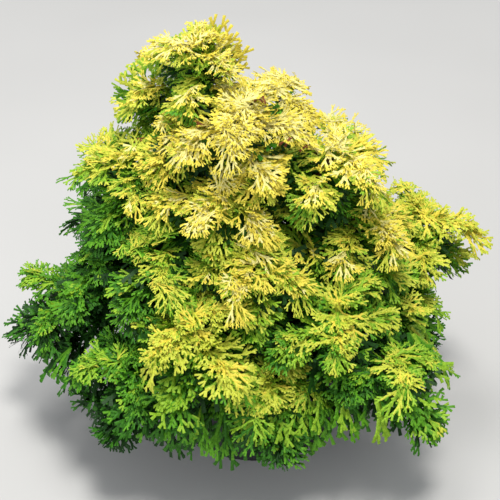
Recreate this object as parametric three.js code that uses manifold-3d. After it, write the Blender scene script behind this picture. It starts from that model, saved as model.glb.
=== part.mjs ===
// A golden dwarf hinoki cypress in a plain pot, in millimetres, +Z up.
// The origin is the middle of the pot's flat underside. -Y is the front, -X the side that the tip leans to.
import * as THREE from "three";
import { mergeVertices } from "three/addons/utils/BufferGeometryUtils.js";
import Module from "manifold-3d";

const wasm = await Module();
wasm.setup();

// Pot and soil.
const POT_HEIGHT = 90;
const POT_FOOT_RADIUS = 60;
const POT_RIM_RADIUS = 80;
const POT_RIM_HEIGHT = 15; // the thicker band round the mouth
const POT_RIM_STEP = 3.5; // how far that band stands out of the wall
const POT_WALL = 4;
const POT_FLOOR = 6;
const POT_SIDES = 30;
const DRAIN_HOLES = 4;
const DRAIN_RADIUS = 5;
const DRAIN_CIRCLE = 36; // radius of the circle that the drain holes lie on
const SOIL_LEVEL = 82; // height of the soil at the stem
const SOIL_EDGE_DROP = 4; // how much lower the soil lies at the wall
const CLEARANCE = 0.3; // between pieces that rest on each other

// Trunk: a short, leaning stem that thins out up to the tip.
const TRUNK_FLARE_RADIUS = 15;
const TRUNK_RADIUS = 10;
const TRUNK_TIP_RADIUS = 2.2;
const TRUNK_TOP = 264; // height of its tip
const TRUNK_SIDES = 8;
const TRUNK_STATIONS = 12;

// Crown.
const SKIRT_LEVEL = 62; // what the heights of tiers start from
const CROWN_HEIGHT = 236;
const CROWN_LEAN = -34; // how far the axis has gone to the side at the top

// Tiers of foliage pads, from the lowest up. fork is the height at which the tier's boughs leave the trunk,
// tilt how far its pads lean outwards, lift how far their lowest spray rises off the pad's plane, spray how long
// it is. reaches has the distance from the axis to the furthest tips for each pad, all the way round.
const TIERS = [
  {
    name: "skirt",
    fork: 97,
    height: 43,
    firstAzimuth: -134,
    tilt: 27,
    lift: -6,
    spray: 58,
    reaches: [154, 140, 172, 150, 142, 138, 146, 173],
  },
  {
    name: "low",
    fork: 117,
    height: 76,
    firstAzimuth: -112,
    tilt: 29,
    lift: -6,
    spray: 61,
    reaches: [144, 148, 179, 134, 132, 144],
  },
  {
    name: "middle",
    fork: 141,
    height: 112,
    firstAzimuth: -136,
    tilt: 28,
    lift: -6,
    spray: 61,
    reaches: [124, 120, 138, 118, 110, 129],
  },
  {
    name: "high",
    fork: 175,
    height: 151,
    firstAzimuth: -92,
    tilt: 25,
    lift: -4,
    spray: 58,
    reaches: [98, 122, 104, 92, 105],
  },
  {
    name: "upper",
    fork: 212,
    height: 189,
    firstAzimuth: -58,
    tilt: 23,
    lift: 0,
    spray: 50,
    reaches: [80, 94, 66, 76],
  },
  {
    name: "crest",
    fork: TRUNK_TOP,
    height: 215,
    firstAzimuth: -100,
    tilt: 16,
    lift: 20,
    spray: 44,
    reaches: [16],
  },
];
// The tiers whose stems come straight out of the trunk.
const BOUGHLESS = ["upper", "crest"];
// The pads that stand out of the cone's outline: how much higher, flatter and further round they lie.
const STRAYS = {
  skirt_0: { turn: 4 },
  skirt_1: { turn: 7 },
  skirt_2: { rise: 7, flatter: 6, turn: 3 },
  skirt_7: { rise: -3, flatter: 14, turn: 2 },
  low_0: { turn: 6 },
  low_2: { rise: 3, flatter: 14, turn: 8 },
  high_1: { rise: 5, flatter: 4 },
  high_2: { rise: 5, flatter: 4, turn: -5 },
  high_4: { rise: 2 },
  upper_1: { rise: -10 },
  upper_2: { rise: 9, flatter: 12, turn: 36 },
  upper_3: { rise: -3, turn: 10 },
};

// Sprays of a pad, from the lowest to the topmost on its stalk. Each stands a turn further round than the one
// below it, starting from the pad's downhill side.
const PAD_SPRAYS = 7;
const SPRAY_TURN = 137.5;
const LOWEST_SPRAY = -8; // height of the lowest spray's root above the pad's heart
const SPRAY_STEP = 2.8; // height from one spray's root to the next
const LIFT_STEP = 6.5; // degrees by which each is lifted more than the one below it
const SPRAY_SHRINK = 0.035; // how much shorter each is than the one below it
const UPHILL_SHRINK = 0.14; // how much shorter or longer the sprays on the uphill or downhill side are
const SPRAY_HALF_ANGLE = 52;
const SPRAY_NECK = 0.12; // share of a spray's length below where it fans out
const NECK_HALF_WIDTH = 1.5;
const SPRAY_THICKNESS = 1.4;
const SPRAY_DROOP = 0.85; // radians that a spray bends down over its length
const SPRAY_CUP = 0.25; // how far its sides bend down, as a share of the distance out squared over its length
const SPRAY_ROOT = 2; // how far a spray's root is sunk past the stalk's axis
const STALK_FOOT_RADIUS = 3.4;
const STALK_TOP_RADIUS = 2.8;
const STEM_RADIUS = 2;

// Boughs.
const BOUGH_ROOT_RADIUS = 4;
const BOUGH_TIP_RADIUS = 2.2;
const BOUGH_SIDES = 5;
const BOUGH_STATIONS = 3;
const FORK_STAGGER = 3.4; // step in height between the roots of neighbouring boughs
const BOUGH_STOP = 7; // how far short of the pad's stalk a bough ends
const BOUGH_ARCH = 3; // how far a bough arches above its two ends
const RIM_ARCH = POT_HEIGHT + 32; // what the lowest boughs are bent over, to clear the rim

const UP = new THREE.Vector3(0, 0, 1);
const radians = THREE.MathUtils.degToRad;

const MATERIALS = {
  pot: new THREE.MeshStandardMaterial({ color: "#3a3b3d", roughness: 0.7, metalness: 0 }),
  soil: new THREE.MeshStandardMaterial({ color: "#2a2321", roughness: 1, metalness: 0 }),
  bark: new THREE.MeshStandardMaterial({ color: "#7a5238", roughness: 0.9, metalness: 0 }),
  gold: new THREE.MeshStandardMaterial({ color: "#d6cc48", roughness: 0.5, metalness: 0 }),
  lime: new THREE.MeshStandardMaterial({ color: "#8fae3a", roughness: 0.5, metalness: 0 }),
  green: new THREE.MeshStandardMaterial({ color: "#5d8a2e", roughness: 0.5, metalness: 0 }),
};
const TIER_MATERIAL = {
  skirt: MATERIALS.green,
  low: MATERIALS.lime,
  middle: MATERIALS.lime,
  high: MATERIALS.gold,
  upper: MATERIALS.gold,
  crest: MATERIALS.gold,
};

// A repeatable number from 0 to 1 for draw k of thing i.
function noise(i, k) {
  const v = Math.sin(i * 12.9898 + k * 78.233) * 43758.5453;
  return v - Math.floor(v);
}

// The same from -1 to 1.
function spread(i, k) {
  return 2 * noise(i, k) - 1;
}

// A closed geometry as a solid.
function solid(geometry) {
  const bare = geometry.clone();
  bare.deleteAttribute("normal");
  bare.deleteAttribute("uv");
  const merged = mergeVertices(bare, 1e-4);
  const mesh = new wasm.Mesh({
    numProp: 3,
    vertProperties: merged.attributes.position.array,
    triVerts: new Uint32Array(merged.index.array),
  });
  return new wasm.Manifold(mesh);
}

// A solid as a geometry.
function geometryOf(made) {
  const mesh = made.getMesh();
  const geometry = new THREE.BufferGeometry();
  geometry.setAttribute("position", new THREE.BufferAttribute(mesh.vertProperties, 3));
  geometry.setIndex(new THREE.BufferAttribute(mesh.triVerts, 1));
  geometry.computeVertexNormals();
  return geometry;
}

// The largest body of a solid, without loose scraps and with any sealed hollow filled.
function mainBody(made) {
  return made.decompose().reduce((a, b) => (b.volume() > a.volume() ? b : a));
}

// A closed tapering tube along a curve. radiusAt gives its radius from 0, the root, to 1, the tip.
function limb(curve, radiusAt, sides, stations) {
  const positions = [];
  const index = [];
  const frames = curve.computeFrenetFrames(stations, false);
  for (let s = 0; s <= stations; s++) {
    const centre = curve.getPointAt(s / stations);
    const radius = radiusAt(s / stations);
    for (let k = 0; k < sides; k++) {
      const angle = (2 * Math.PI * k) / sides;
      const out = frames.normals[s].clone().multiplyScalar(Math.cos(angle));
      out.addScaledVector(frames.binormals[s], Math.sin(angle));
      positions.push(...centre.clone().addScaledVector(out, radius));
    }
  }
  for (let s = 0; s < stations; s++) {
    for (let k = 0; k < sides; k++) {
      const a = s * sides + k;
      const b = s * sides + ((k + 1) % sides);
      index.push(a, b, b + sides, a, b + sides, a + sides);
    }
  }
  const last = stations * sides;
  for (let k = 1; k < sides - 1; k++) {
    index.push(0, k + 1, k);
    index.push(last, last + k, last + k + 1);
  }
  const geometry = new THREE.BufferGeometry();
  geometry.setAttribute("position", new THREE.Float32BufferAttribute(positions, 3));
  geometry.setIndex(index);
  return geometry;
}

// Where the crown's axis is at a height above the skirt's level.
function axisX(height) {
  return (CROWN_LEAN * Math.max(height, 0)) / CROWN_HEIGHT;
}

// Every pad of foliage: where its heart is, the way it faces, its downhill side and its side way.
function layOutPads() {
  const pads = [];
  for (const tier of TIERS) {
    tier.reaches.forEach((reach, k) => {
      const name = tier.name + "_" + k;
      const i = pads.length;
      const stray = { rise: 0, flatter: 0, turn: 0, ...STRAYS[name] };
      const azimuth = tier.firstAzimuth + (360 * k) / tier.reaches.length + 5 * spread(i, 1) + stray.turn;
      const height = tier.height + 4 * spread(i, 2) + stray.rise;
      const tilt = radians(tier.tilt + 6 * spread(i, 4) - stray.flatter);
      const outward = new THREE.Vector3(Math.cos(radians(azimuth)), Math.sin(radians(azimuth)), 0);
      const facing = UP.clone().multiplyScalar(Math.cos(tilt)).addScaledVector(outward, Math.sin(tilt));
      const downhill = outward.clone().multiplyScalar(Math.cos(tilt)).addScaledVector(UP, -Math.sin(tilt));
      const sideways = new THREE.Vector3().crossVectors(facing, downhill);
      const heart = new THREE.Vector3(axisX(height), 0, SKIRT_LEVEL + height);
      heart.addScaledVector(outward, Math.max(reach - 0.9 * tier.spray, 2));
      const fork = tier.fork + FORK_STAGGER * (((2 * k) % 5) - 2);
      const { lift, spray } = tier;
      pads.push({ name, i, tier: tier.name, lift, spray, fork, heart, outward, facing, downhill, sideways });
    });
  }
  return pads;
}

// The flat outline of one spray: a neck, then blunt fingers that fan out of its end, with gaps between them.
function sprayShape(length, fingers, seed) {
  const halfAngle = radians(SPRAY_HALF_ANGLE);
  const step = (2 * halfAngle) / (fingers - 1);
  const neck = SPRAY_NECK * length;
  const points = [new THREE.Vector2(-SPRAY_ROOT, -NECK_HALF_WIDTH), new THREE.Vector2(neck, -NECK_HALF_WIDTH)];
  const add = (out, angle) => {
    points.push(new THREE.Vector2(neck + out * Math.cos(angle), out * Math.sin(angle)));
  };
  for (let f = 0; f < fingers; f++) {
    const angle = -halfAngle + f * step;
    const tip = (length - neck) * (1 - (0.2 * Math.abs(angle)) / halfAngle) * (1 - 0.14 * noise(seed, 20 + f));
    add(tip * (1 - 0.1 * noise(seed, 40 + f)), angle - 0.3 * step);
    add(tip * (1 - 0.1 * noise(seed, 50 + f)), angle + 0.3 * step);
    if (f < fingers - 1) add(length * (0.34 + 0.12 * noise(seed, 30 + f)), angle + step / 2);
  }
  points.push(new THREE.Vector2(neck, NECK_HALF_WIDTH), new THREE.Vector2(-SPRAY_ROOT, NECK_HALF_WIDTH));
  return new THREE.Shape(points);
}

// One spray as a cupped, drooping toothed blade, rooted on the pad's stalk.
function sprayBlade(pad, { heading, lift, above, length, fingers, seed }, extra = 0) {
  const shape = sprayShape(length + extra, fingers, seed);
  const thickness = SPRAY_THICKNESS + extra;
  const blade = new THREE.ExtrudeGeometry(shape, { depth: thickness, bevelEnabled: false });
  const along = pad.downhill.clone().multiplyScalar(Math.cos(heading));
  along.addScaledVector(pad.sideways, Math.sin(heading)).multiplyScalar(Math.cos(lift));
  along.addScaledVector(pad.facing, Math.sin(lift));
  const across = new THREE.Vector3().crossVectors(pad.facing, along).normalize();
  const upright = new THREE.Vector3().crossVectors(along, across);
  const position = blade.attributes.position;
  const point = new THREE.Vector3();
  for (let v = 0; v < position.count; v++) {
    const x = position.getX(v);
    const y = position.getY(v);
    const bend = (SPRAY_DROOP * Math.max(x, 0)) / length;
    const level = position.getZ(v) - thickness / 2;
    const forward = (length * Math.sin(bend)) / SPRAY_DROOP + Math.min(x, 0) + level * Math.sin(bend);
    const sag = (length * (1 - Math.cos(bend))) / SPRAY_DROOP + (SPRAY_CUP * y * y) / length;
    point.copy(pad.heart).addScaledVector(pad.facing, above).addScaledVector(along, forward);
    point.addScaledVector(across, y).addScaledVector(upright, level * Math.cos(bend) - sag);
    position.setXYZ(v, point.x, point.y, point.z);
  }
  return solid(blade);
}

// The pot: one closed wall and floor with a band round the mouth, less its drain holes.
function makePot() {
  const wallTop = POT_RIM_RADIUS - POT_RIM_STEP;
  const rimFoot = POT_HEIGHT - POT_RIM_HEIGHT;
  const profile = [
    [0, 0],
    [POT_FOOT_RADIUS - 2, 0],
    [POT_FOOT_RADIUS, 2],
    [wallTop - 1, rimFoot],
    [POT_RIM_RADIUS - 1, rimFoot],
    [POT_RIM_RADIUS, rimFoot + 1.5],
    [POT_RIM_RADIUS, POT_HEIGHT - 1.5],
    [POT_RIM_RADIUS - 1.5, POT_HEIGHT],
    [wallTop - POT_WALL + 1, POT_HEIGHT],
    [wallTop - POT_WALL, POT_HEIGHT - 1.5],
    [POT_FOOT_RADIUS - POT_WALL, POT_FLOOR],
    [0, POT_FLOOR],
  ].map(([r, z]) => new THREE.Vector2(r, z));
  const lathe = new THREE.LatheGeometry(profile, POT_SIDES);
  lathe.rotateX(Math.PI / 2);
  let pot = solid(lathe);
  for (let k = 0; k < DRAIN_HOLES; k++) {
    const angle = (2 * Math.PI * (k + 0.5)) / DRAIN_HOLES;
    const hole = new THREE.CylinderGeometry(DRAIN_RADIUS, DRAIN_RADIUS, 3 * POT_FLOOR, 12);
    hole.rotateX(Math.PI / 2);
    hole.translate(DRAIN_CIRCLE * Math.cos(angle), DRAIN_CIRCLE * Math.sin(angle), 0);
    pot = pot.subtract(solid(hole));
  }
  return pot;
}

// The soil that fills the pot, flat under the stem and falling a little to the wall.
function makeSoil() {
  const innerTop = POT_RIM_RADIUS - POT_RIM_STEP - POT_WALL;
  const innerFoot = POT_FOOT_RADIUS - POT_WALL;
  const wallAt = (z) => innerFoot + ((innerTop - innerFoot) * (z - POT_FLOOR)) / (POT_HEIGHT - 1.5 - POT_FLOOR);
  const foot = POT_FLOOR + CLEARANCE;
  const edge = SOIL_LEVEL - SOIL_EDGE_DROP;
  const profile = [
    [0, foot],
    [wallAt(foot) - 2 * CLEARANCE, foot],
    [wallAt(edge) - 2 * CLEARANCE, edge],
    [0.6 * innerTop, SOIL_LEVEL - 1],
    [TRUNK_FLARE_RADIUS + 4, SOIL_LEVEL],
    [0, SOIL_LEVEL],
  ].map(([r, z]) => new THREE.Vector2(r, z));
  const lathe = new THREE.LatheGeometry(profile, POT_SIDES);
  lathe.rotateX(Math.PI / 2);
  return solid(lathe);
}

// The trunk's line, from its flat cut on the soil up to the tip.
function trunkCurve() {
  const foot = SOIL_LEVEL + CLEARANCE;
  const stations = [0, 0.06, 0.3, 0.55, 0.8, 1];
  const points = stations.map((share) => {
    const z = foot + share * (TRUNK_TOP - foot);
    const sway = 3 * Math.sin(7 * share) * share;
    return new THREE.Vector3(axisX(z - SKIRT_LEVEL) * Math.min(4 * share, 1), sway, z);
  });
  points[0].copy(new THREE.Vector3(0, 0, foot));
  points[1].copy(new THREE.Vector3(0, 0, points[1].z));
  return new THREE.CatmullRomCurve3(points);
}

// The trunk's radius: a flare at the root, then an even taper.
function trunkRadius(share) {
  const flare = (TRUNK_FLARE_RADIUS - TRUNK_RADIUS) * Math.exp(-share * 22);
  return flare + TRUNK_RADIUS + (TRUNK_TIP_RADIUS - TRUNK_RADIUS) * share;
}

function makeTrunk(fatter = 0) {
  const width = (share) => trunkRadius(share) + fatter;
  const made = solid(limb(trunkCurve(), width, TRUNK_SIDES, TRUNK_STATIONS));
  return made.trimByPlane([0, 0, 1], SOIL_LEVEL + CLEARANCE);
}

// A point on the trunk's axis at a height.
function trunkPoint(z) {
  const curve = trunkCurve();
  let low = 0;
  let high = 1;
  for (let step = 0; step < 30; step++) {
    const middle = (low + high) / 2;
    if (curve.getPointAt(middle).z < z) low = middle;
    else high = middle;
  }
  return curve.getPointAt(low);
}

// A bough's line: out of the trunk, up in a low arch, and level or down towards the foot of the pad's stalk.
function boughCurve(pad) {
  const end = stalkFoot(pad).addScaledVector(pad.outward, -BOUGH_STOP);
  const root = trunkPoint(pad.fork);
  const middle = root.clone().lerp(end, 0.55);
  middle.z = Math.max(root.z + BOUGH_ARCH, end.z + BOUGH_ARCH, pad.tier === "skirt" ? RIM_ARCH : 0);
  return new THREE.QuadraticBezierCurve3(root, middle, end);
}

function makeBough(pad, fatTrunk, fatter = 0) {
  const taper = (share) => BOUGH_ROOT_RADIUS + (BOUGH_TIP_RADIUS - BOUGH_ROOT_RADIUS) * share + fatter;
  return mainBody(solid(limb(boughCurve(pad), taper, BOUGH_SIDES, BOUGH_STATIONS)).subtract(fatTrunk));
}

// Where the stalk that carries a pad's sprays starts.
function stalkFoot(pad) {
  return pad.heart.clone().addScaledVector(pad.facing, LOWEST_SPRAY - 3);
}

// Where a pad's stem starts: on the trunk's axis, or just beyond the tip of the trunk or of the pad's bough.
function stemRoot(pad) {
  if (pad.tier === "upper") return trunkPoint(pad.fork);
  const carrier = pad.tier === "crest" ? trunkCurve() : boughCurve(pad);
  return carrier.getPointAt(1).addScaledVector(carrier.getTangentAt(1), CLEARANCE);
}

// A pad's stalk with the short stem that goes on from the bough's tip, or from the trunk's on the crest.
function makeStalk(pad, fatTrunk) {
  const from = stemRoot(pad);
  const foot = stalkFoot(pad);
  const top = pad.heart.clone().addScaledVector(pad.facing, LOWEST_SPRAY + SPRAY_STEP * PAD_SPRAYS);
  const width = (share) => STALK_FOOT_RADIUS + (STALK_TOP_RADIUS - STALK_FOOT_RADIUS) * share;
  const stalk = limb(new THREE.LineCurve3(foot, top), width, 6, 1);
  const joint = foot.clone().lerp(top, 0.15);
  const stem = limb(new THREE.LineCurve3(from, joint), () => STEM_RADIUS, BOUGH_SIDES, 1);
  const carrier = BOUGHLESS.includes(pad.tier) ? fatTrunk : makeBough(pad, fatTrunk, CLEARANCE);
  return mainBody(solid(stalk).add(solid(stem)).subtract(carrier));
}

// True if a solid would touch any of the others.
function touches(made, others) {
  const box = made.boundingBox();
  return others.some((other) => {
    const apart = [0, 1, 2].some((k) => box.max[k] < other.box.min[k] || box.min[k] > other.box.max[k]);
    return !apart && made.intersect(other.made).volume() > 0;
  });
}

// The k-th spray of a pad, counted from the lowest.
function sprayOf(pad, k, longer, turn) {
  const seed = 10 * pad.i + k;
  const heading = radians(SPRAY_TURN * k + 9 * spread(seed, 6) + turn);
  const share = (1 - SPRAY_SHRINK * k) * (1 + UPHILL_SHRINK * Math.cos(heading)) * (1 + 0.07 * spread(seed, 8));
  return {
    heading,
    lift: radians(pad.lift + LIFT_STEP * k + 1.5 * spread(seed, 7)),
    above: LOWEST_SPRAY + SPRAY_STEP * k,
    length: pad.spray * share * longer,
    fingers: k < 3 ? 4 : 3,
    seed,
  };
}

// Every pad's sprays, added in turn to all pads, each kept only where it stays clear of what is there.
function growPads(pads, fixed, fatTrunk) {
  const grown = pads.map((pad) => makeStalk(pad, fatTrunk));
  const tries = [
    { longer: 1, turn: 0 },
    { longer: 0.9, turn: 12 },
    { longer: 0.9, turn: -12 },
    { longer: 0.75, turn: 0 },
    { longer: 0.6, turn: 18 },
    { longer: 0.6, turn: -18 },
  ];
  for (let k = 0; k < PAD_SPRAYS; k++) {
    pads.forEach((pad, p) => {
      const others = grown.filter((_, q) => q !== p).map((made) => ({ made, box: made.boundingBox() }));
      others.push(...fixed);
      for (const { longer, turn } of tries) {
        const spray = sprayOf(pad, k, longer, turn);
        if (touches(sprayBlade(pad, spray, 2 * CLEARANCE), others)) continue;
        grown[p] = grown[p].add(sprayBlade(pad, spray));
        break;
      }
    });
  }
  return grown.map(mainBody);
}

const plant = new THREE.Group();

function addNode(name, made, material) {
  const mesh = new THREE.Mesh(geometryOf(made), material);
  mesh.name = name;
  plant.add(mesh);
}

const pads = layOutPads();
const pot = makePot();
const soil = makeSoil();
const trunk = makeTrunk();
const fatTrunk = makeTrunk(CLEARANCE);
const boughPads = pads.filter((pad) => !BOUGHLESS.includes(pad.tier));
const boughs = boughPads.map((pad) => makeBough(pad, fatTrunk));
const fixed = [pot, soil, fatTrunk, ...boughs].map((made) => ({ made, box: made.boundingBox() }));
const masses = growPads(pads, fixed, fatTrunk);

addNode("pot", pot, MATERIALS.pot);
addNode("soil", soil, MATERIALS.soil);
addNode("trunk", trunk, MATERIALS.bark);
boughPads.forEach((pad, k) => addNode("bough_" + pad.name, boughs[k], MATERIALS.bark));
pads.forEach((pad, k) => addNode("foliage_" + pad.name, masses[k], TIER_MATERIAL[pad.tier]));

export default plant;
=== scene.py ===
"""The looks of a golden dwarf hinoki cypress in a plain pot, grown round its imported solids, in metres."""

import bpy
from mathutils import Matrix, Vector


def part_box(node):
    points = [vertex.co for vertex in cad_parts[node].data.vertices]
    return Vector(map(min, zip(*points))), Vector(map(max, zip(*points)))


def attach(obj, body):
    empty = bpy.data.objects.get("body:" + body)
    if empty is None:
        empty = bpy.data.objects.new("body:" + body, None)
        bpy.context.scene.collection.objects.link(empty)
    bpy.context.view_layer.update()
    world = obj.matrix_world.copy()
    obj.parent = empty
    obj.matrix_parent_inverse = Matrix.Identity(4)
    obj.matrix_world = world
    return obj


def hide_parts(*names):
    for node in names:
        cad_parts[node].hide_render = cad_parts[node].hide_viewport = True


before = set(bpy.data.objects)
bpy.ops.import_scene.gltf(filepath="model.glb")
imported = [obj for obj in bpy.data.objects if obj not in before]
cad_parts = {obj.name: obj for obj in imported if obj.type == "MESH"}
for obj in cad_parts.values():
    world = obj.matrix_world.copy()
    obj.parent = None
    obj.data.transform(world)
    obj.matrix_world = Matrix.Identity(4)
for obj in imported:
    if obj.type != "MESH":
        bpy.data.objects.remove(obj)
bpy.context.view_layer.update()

import math
from types import SimpleNamespace

import bpy
import numpy as np
from mathutils import Vector, noise as perlin
from mathutils.bvhtree import BVHTree

# Pot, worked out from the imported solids.
POT_LOW, POT_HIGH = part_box("pot")
POT_HEIGHT = POT_HIGH[2]
RIM_RADIUS = (POT_HIGH[0] - POT_LOW[0]) / 2
FOOT_RADIUS = 0.060
RIM_HEIGHT = 0.015
RIM_FOOT = POT_HEIGHT - RIM_HEIGHT
RIM_STEP = 0.0035
RIM_HOLLOW = 0.001
WALL = 0.004
POT_FLOOR = 0.006
MOUTH_RADIUS = RIM_RADIUS - RIM_STEP - WALL
FLOOR_RADIUS = FOOT_RADIUS - WALL
FLOOR_RINGS = (0.030, 0.046)  # for even faces
FLOOR_STEP = 0.001
MOUTH_STEP = 0.006
# Radii of its rounded edges.
FOOT_ROUND = 0.002
NECK_ROUND = 0.0012
LIP_ROUND = 0.0015
RIM_ROUND = 0.0018
DRAIN_HOLES = 4
DRAIN_RADIUS = 0.005
DRAIN_CIRCLE = 0.036
DRILL_SPARE = 0.004

# Soil.
SOIL_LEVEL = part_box("soil")[1][2]
CLEARANCE = 0.0003
SOIL_EDGE_DROP = 0.004
SOIL_SLOPE = 1.6
SOIL_SHOULDER = 0.001
SOIL_MIDDLE = 0.0015
SOIL_GAP = 0.0006  # between the visible soil and the wall
LUMPS = [(160, 0.0016), (420, 0.0008)]  # the soil's relief: how fine and how high
LUMPS_SINK = 0.0010
CHIPS = 420
CHIP_SIZE = (0.0012, 0.0042)
CHIP_INSIDE = 0.004
CHIP_AREA = (0.04, 1)  # share of the soil's top that they lie on
CHIP_SINK = 0.0004
# Their corners, and against their size: how far out corners lie and are turned, length, width and thickness, and
# how much smaller, rougher and higher the top is.
CHIP_SIDES = 6
CHIP_REACH = (0.6, 1.0)
CHIP_TURN = (-0.3, 0.3)
CHIP_LENGTH = (1.0, 1.9)
CHIP_WIDTH = 0.7
CHIP_THICKNESS = (0.25, 0.5)
CHIP_TOP = 0.85
CHIP_ROUGHNESS = (-0.15, 0.15)
CHIP_PEAK = 1.1

# Trunk and boughs, by the solids' own rule.
FLARE_RADIUS = 0.015
FLARE_FADE = 22
TRUNK_RADIUS = 0.010
TRUNK_TIP_RADIUS = 0.0022
TRUNK_FOOT = SOIL_LEVEL + CLEARANCE
TRUNK_TOP = 0.264
TRUNK_BEND = 4
TRUNK_WAVE = 0.003
TRUNK_TURN = 7
BOUGH_ROOT_RADIUS = 0.004
BOUGH_TIP_RADIUS = 0.0022
BOUGH_STOP = 0.007
BOUGH_ARCH = 0.003
BOUGH_MIDDLE = 0.55
FORK_STAGGER = 0.0034
RIM_ARCH = POT_HEIGHT + 0.032

# Crown, by the solids' own rule. Of each tier: where its boughs leave the trunk, its pads' height above the skirt's
# level, the first one's azimuth, their tilt, the lift and length of their sprays, and their reaches.
SKIRT_LEVEL = 0.062
CROWN_HEIGHT = 0.236
CROWN_LEAN = -0.034
TIERS = [
    ("skirt", 0.097, 0.043, -134, 27, -6, 0.058, [0.154, 0.140, 0.172, 0.150, 0.142, 0.138, 0.146, 0.173]),
    ("low", 0.117, 0.076, -112, 29, -6, 0.061, [0.144, 0.148, 0.179, 0.134, 0.132, 0.144]),
    ("middle", 0.141, 0.112, -136, 28, -6, 0.061, [0.124, 0.120, 0.138, 0.118, 0.110, 0.129]),
    ("high", 0.175, 0.151, -92, 25, -4, 0.058, [0.098, 0.122, 0.104, 0.092, 0.105]),
    ("upper", 0.212, 0.189, -58, 23, 0, 0.050, [0.080, 0.094, 0.066, 0.076]),
    ("crest", TRUNK_TOP, 0.215, -100, 16, 20, 0.044, [0.016]),
]
BOUGHLESS = ("upper", "crest")
# The pads that stand out of the cone's outline: how much higher, flatter and further round they lie.
STRAYS = dict(
    skirt_0=(0, 0, 4), skirt_1=(0, 0, 7), skirt_2=(0.007, 6, 3), skirt_7=(-0.003, 14, 2), low_0=(0, 0, 6),
    low_2=(0.003, 14, 8), high_1=(0.005, 4, 0), high_2=(0.005, 4, -5), high_4=(0.002, 0, 0),
    upper_1=(-0.010, 0, 0), upper_2=(0.009, 12, 36), upper_3=(-0.003, 0, 10),
)
PAD_VARIETY = dict(turn=(1, 5), rise=(2, 0.004), tilt=(4, 6))
HEART_INSIDE = 0.9  # of a spray's length, from the tier's reach to a pad's heart
LEAST_REACH = 0.002
SPRAY_TURN = 137.5
SPRAY_VARIETY = dict(turn=(6, 9), lift=(7, 1.5), size=(8, 0.07))
LOWEST_SPRAY = -0.008
SPRAY_STEP = 0.0028
LIFT_STEP = 6.5
SPRAY_SHRINK = 0.035
UPHILL_SHRINK = 0.14
SPRAY_DROOP = 0.85
MAIN_SPRAYS = 7
STALK_DROP = 0.003  # from a pad's lowest spray to the foot of its stalk
FAN_DROOP = 0.26
FAN_CUP = -0.20  # how much a fan's sides hang, or rise where it is less than 0

# Camera, set so that a 500 by 500 frame holds the crown as the photo does.
CAMERA_TARGET = Vector((-0.003, 0.0, 0.140))
CAMERA_DISTANCE = 0.8
CAMERA_ELEVATION = 35
CAMERA_LENS = 85
CAMERA_SENSOR = 36

UP = np.array([0.0, 0.0, 1.0])
FRONT = np.array([0.0, -1.0, 0.0])
ASKEW = np.array([0.31, 0.17, 0.93])  # no tube's own way
# Where each kind of thing begins to count its draws.
SEEDS = SimpleNamespace(
    fan=40, coarse=80, branch=400, russet=500, filler=1000, inner=7000, upright=9000, fringe=12000, chips=7)


def noise(i, k):
    """A repeatable number from 0 to 1 for draw k of thing i."""
    value = math.sin(i * 12.9898 + k * 78.233) * 43758.5453
    return value - math.floor(value)


def spread(i, k):
    """The same from -1 to 1."""
    return 2 * noise(i, k) - 1


def drawn(seed, variety):
    """How much a thing varies, in each way that variety gives as the number of a draw and its size."""
    return SimpleNamespace(**{way: size * spread(seed, k) for way, (k, size) in variety.items()})


def linear(red, green, blue):
    """A colour given in the usual 0 to 255 steps, as the shader wants it."""
    share = [c / 255 for c in (red, green, blue)]
    return tuple(c / 12.92 if c < 0.04045 else ((c + 0.055) / 1.055) ** 2.4 for c in share) + (1.0,)


def clamp(value, low=0.0, high=1.0):
    return min(max(value, low), high)


def through(value, band):
    """How far a value has come through a band, given by its start and its width."""
    return (value - band[0]) / band[1]


def level_way(angle):
    """The level way at an angle."""
    return np.array([math.cos(angle), math.sin(angle), 0.0])


def arch(start, middle, end, steps):
    """Points on a curve from start to end, drawn towards the middle."""
    t = np.linspace(0, 1, steps)[:, None]
    return start * (1 - t) ** 2 + middle * 2 * t * (1 - t) + end * t ** 2


# Materials

EVEN = (1, 1, 1)
LEAF_LOOK = (0.52, 0.26, (900, 2, EVEN), (0.35, 0.0004))
LEAF_STOPS = (0.32, 0.62)
# Of each: roughness, specular, the grain's scale, detail and stretch, its relief's strength and height, and the
# colours with their places in the grain.
MATERIALS = {
    "bark": (0.88, 0.25, (260, 6, (1, 1, 0.16)), (0.6, 0.0008),
             [(0.30, (44, 26, 18)), (0.50, (104, 62, 40)), (0.68, (160, 108, 76))]),
    "young_bark": (0.7, 0.3, (420, 4, (1, 1, 0.3)), (0.4, 0.0004),
                   [(0.30, (62, 42, 24)), (0.50, (98, 66, 36)), (0.72, (128, 96, 52))]),
    "russet_bark": (0.75, 0.25, (420, 4, (1, 1, 0.3)), (0.4, 0.0004),
                    [(0.30, (84, 44, 28)), (0.50, (126, 70, 44)), (0.72, (160, 102, 64))]),
    "pot": (0.62, 0.4, (420, 5, EVEN), (0.15, 0.0003),
            [(0.30, (38, 39, 41)), (0.55, (54, 55, 57)), (0.75, (70, 71, 72))]),
    "soil": (0.95, 0.2, (340, 8, EVEN), (0.9, 0.0015),
             [(0.32, (14, 11, 10)), (0.52, (38, 28, 23)), (0.74, (74, 56, 44))]),
    "bark_chips": (0.9, 0.25, (300, 5, (1, 0.3, 1)), (0.5, 0.0006),
                   [(0.30, (52, 33, 23)), (0.55, (98, 64, 43)), (0.78, (142, 104, 74))]),
    "floor": (0.9, 0.2, (3, 2, EVEN), (0, 0), [(0.3, (206, 205, 203)), (0.7, (212, 211, 209))]),
}


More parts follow.
